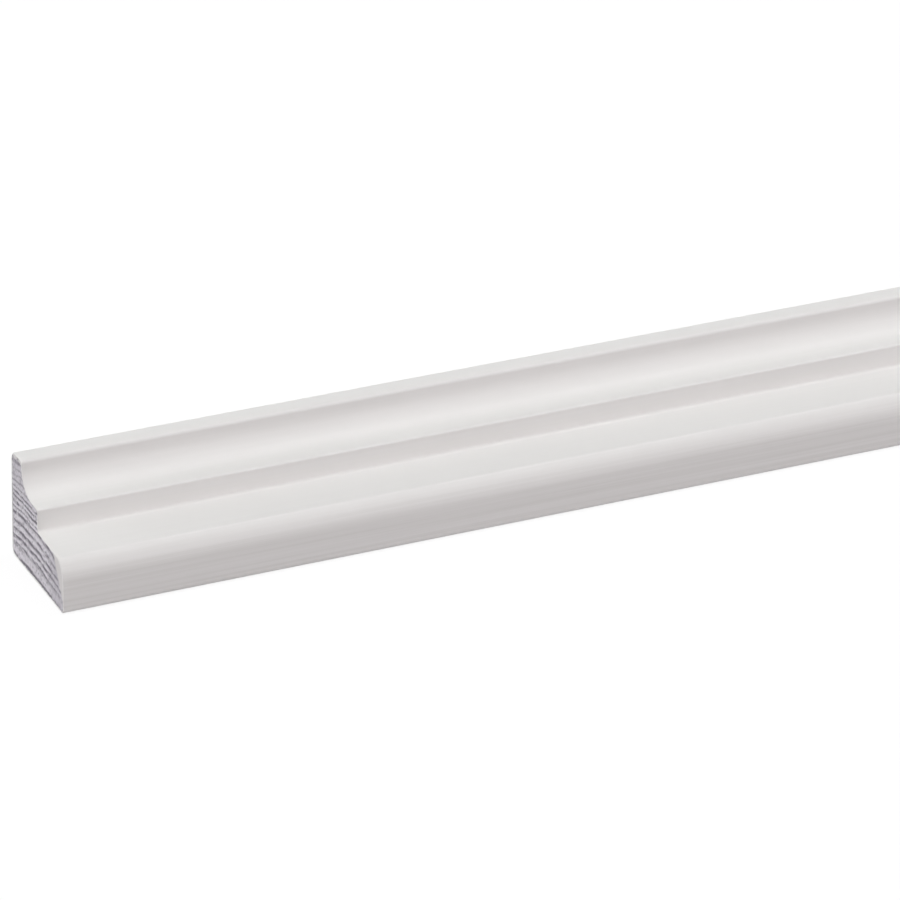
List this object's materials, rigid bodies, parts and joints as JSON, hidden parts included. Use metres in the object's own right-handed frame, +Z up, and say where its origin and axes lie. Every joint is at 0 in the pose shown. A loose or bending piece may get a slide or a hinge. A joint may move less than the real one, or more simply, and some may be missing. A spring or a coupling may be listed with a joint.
{
  "type": "cornice moulding",
  "caption": "Straight length of white primed softwood cornice moulding, with a fillet, cove, step, ledge and ovolo on its face and two flat faces that trim the corner of a wall and ceiling.",
  "frame": {"origin": "middle of the bar's length and depth, on the flat base that it lies on", "axes": "+X along the bar, +Y out of the flat back face, so the moulded face looks towards -Y, +Z up from the base to the top edge"},
  "size_m": [2.4, 0.026, 0.022],
  "materials": {
    "primed_pine": "white primer paint, satin, on planed pine, bare at the sawn ends"
  },
  "bodies": {
    "root": {"cornice_moulding": "primed_pine"}
  },
  "joints": []
}
